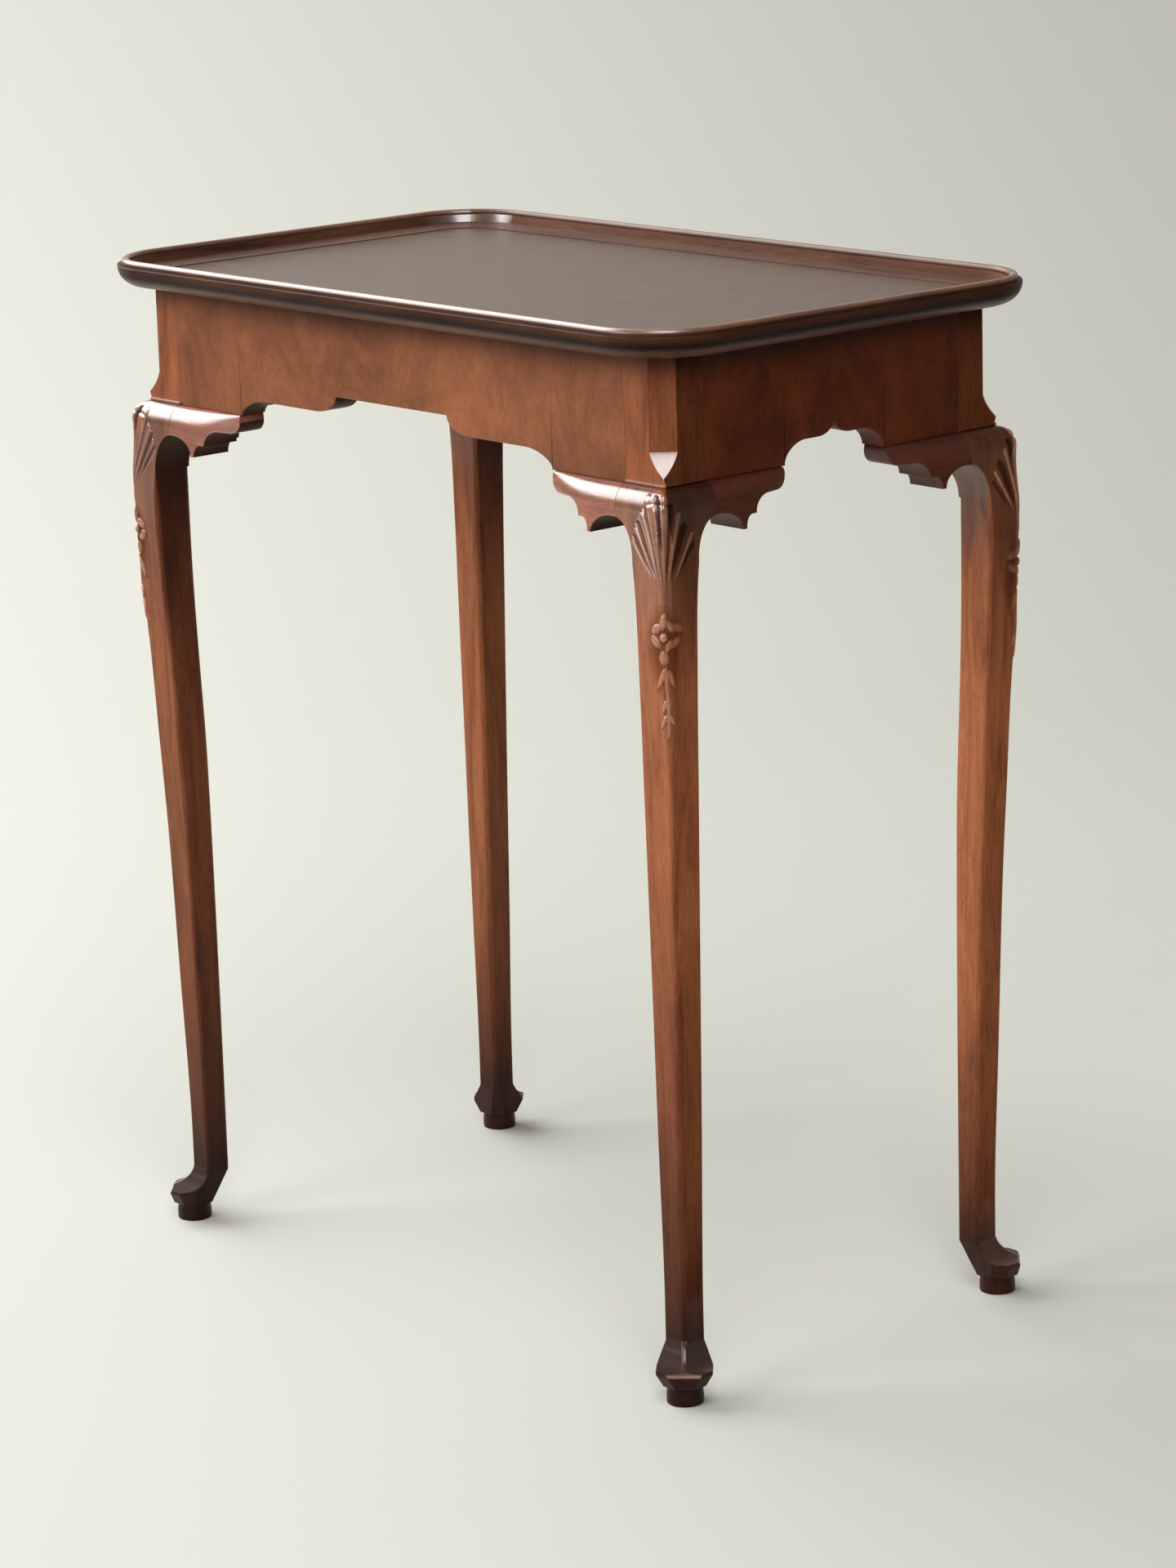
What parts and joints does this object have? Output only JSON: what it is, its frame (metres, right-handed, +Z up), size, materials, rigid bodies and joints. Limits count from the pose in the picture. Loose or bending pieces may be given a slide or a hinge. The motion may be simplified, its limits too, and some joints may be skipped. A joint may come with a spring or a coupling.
{
  "type": "tray top tea table",
  "caption": "Rectangular tea table with a raised moulded tray rim, scalloped aprons, knee brackets and slender cabriole legs on pointed pad feet.",
  "frame": {"origin": "on the floor under the middle of the top", "axes": "+X along the long side to the right, -Y to the front, +Z up"},
  "size_m": [0.586, 0.354, 0.7],
  "materials": {
    "top_wood": "polished",
    "rim_wood": "polished",
    "apron_wood": "polished",
    "leg_wood": "polished",
    "bracket_wood": "polished",
    "block_wood": "plain",
    "screw_steel": "dull"
  },
  "bodies": {
    "root": {"apron_back": "apron_wood", "apron_front": "apron_wood", "apron_left": "apron_wood", "apron_right": "apron_wood", "fixing_block_back_left": "block_wood", "fixing_block_back_right": "block_wood", "fixing_block_front_left": "block_wood", "fixing_block_front_right": "block_wood", "fixing_block_left": "block_wood", "fixing_block_right": "block_wood", "fixing_screws": "screw_steel", "knee_bracket_back_left": "bracket_wood", "knee_bracket_back_right": "bracket_wood", "knee_bracket_front_left": "bracket_wood", "knee_bracket_front_right": "bracket_wood", "knee_bracket_left_back": "bracket_wood", "knee_bracket_left_front": "bracket_wood", "knee_bracket_right_back": "bracket_wood", "knee_bracket_right_front": "bracket_wood", "leg_back_left": "leg_wood", "leg_back_right": "leg_wood", "leg_front_left": "leg_wood", "leg_front_right": "leg_wood", "tray_panel": "top_wood", "tray_rim_back": "rim_wood", "tray_rim_front": "rim_wood", "tray_rim_left": "rim_wood", "tray_rim_right": "rim_wood"}
  },
  "joints": []
}
